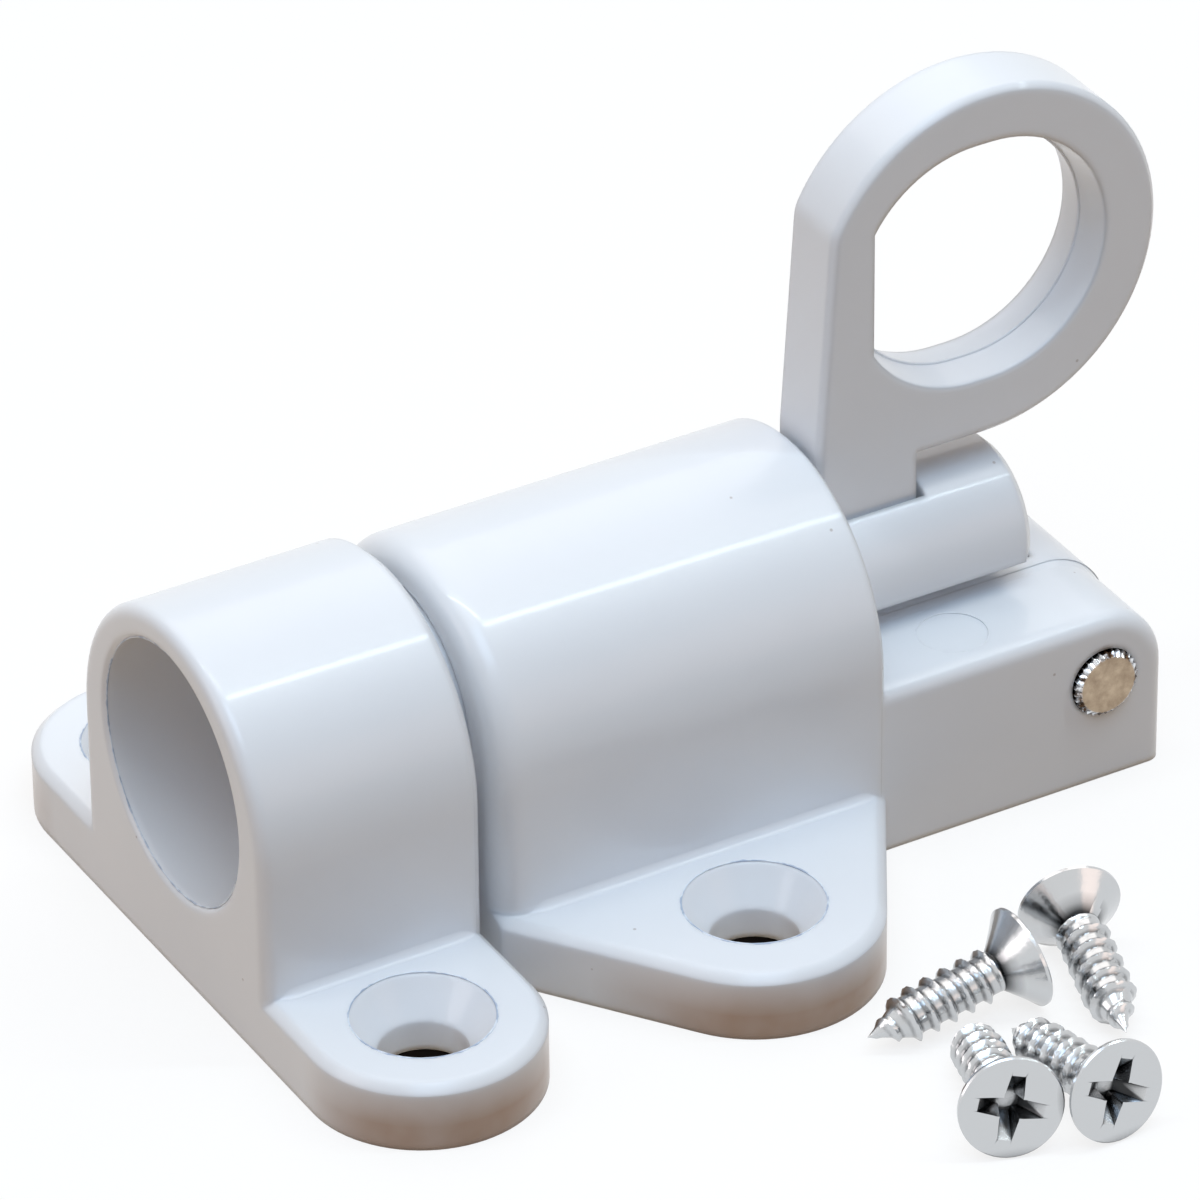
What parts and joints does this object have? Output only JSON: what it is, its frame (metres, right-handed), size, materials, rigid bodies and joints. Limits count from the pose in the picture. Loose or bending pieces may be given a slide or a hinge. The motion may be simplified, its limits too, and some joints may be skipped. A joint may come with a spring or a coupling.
{
  "type": "hatch latch",
  "caption": "Spring bolt latch with a pull ring lever, a separate keeper and loose countersunk mounting screws.",
  "frame": {"origin": "midway between the housing's two screw holes, on the mounting face", "axes": "+Z away from the mounting face, +X along the bolt from the keeper towards the pull ring, Y across the latch"},
  "size_m": [0.0577, 0.0587, 0.039],
  "materials": {
    "white_painted_casting": "glossy white paint over die cast metal",
    "plated_pin": "bright plated steel",
    "spring_wire": "plain drawn spring wire",
    "plated_screw": "bright zinc plating"
  },
  "bodies": {
    "latch_body": {"housing": "white_painted_casting", "keeper": "white_painted_casting", "pivot_pin": "plated_pin", "return_spring": "spring_wire", "mounting_screw_1": "plated_screw", "mounting_screw_2": "plated_screw", "mounting_screw_3": "plated_screw", "mounting_screw_4": "plated_screw"},
    "bolt": {"bolt": "white_painted_casting"},
    "pull_ring": {"pull_ring": "white_painted_casting"}
  },
  "joints": [
    {"name": "ring_swing", "type": "hinge", "parent": "latch_body", "child": "pull_ring", "pos_m": [0.0245, 0, 0.0061], "axis": [0, 1, 0], "range_deg": [0, 42]},
    {"name": "bolt_slide", "type": "slide", "parent": "latch_body", "child": "bolt", "axis": [1, 0, 0], "range_m": [0, 0.00697], "stiffness_N_per_m": 1000, "springref_m": -0.006, "deforming": ["return_spring"]}
  ],
  "couplings": [
    {"joint": "ring_swing", "follows": "bolt_slide", "rad_per_m": 105.1}
  ]
}
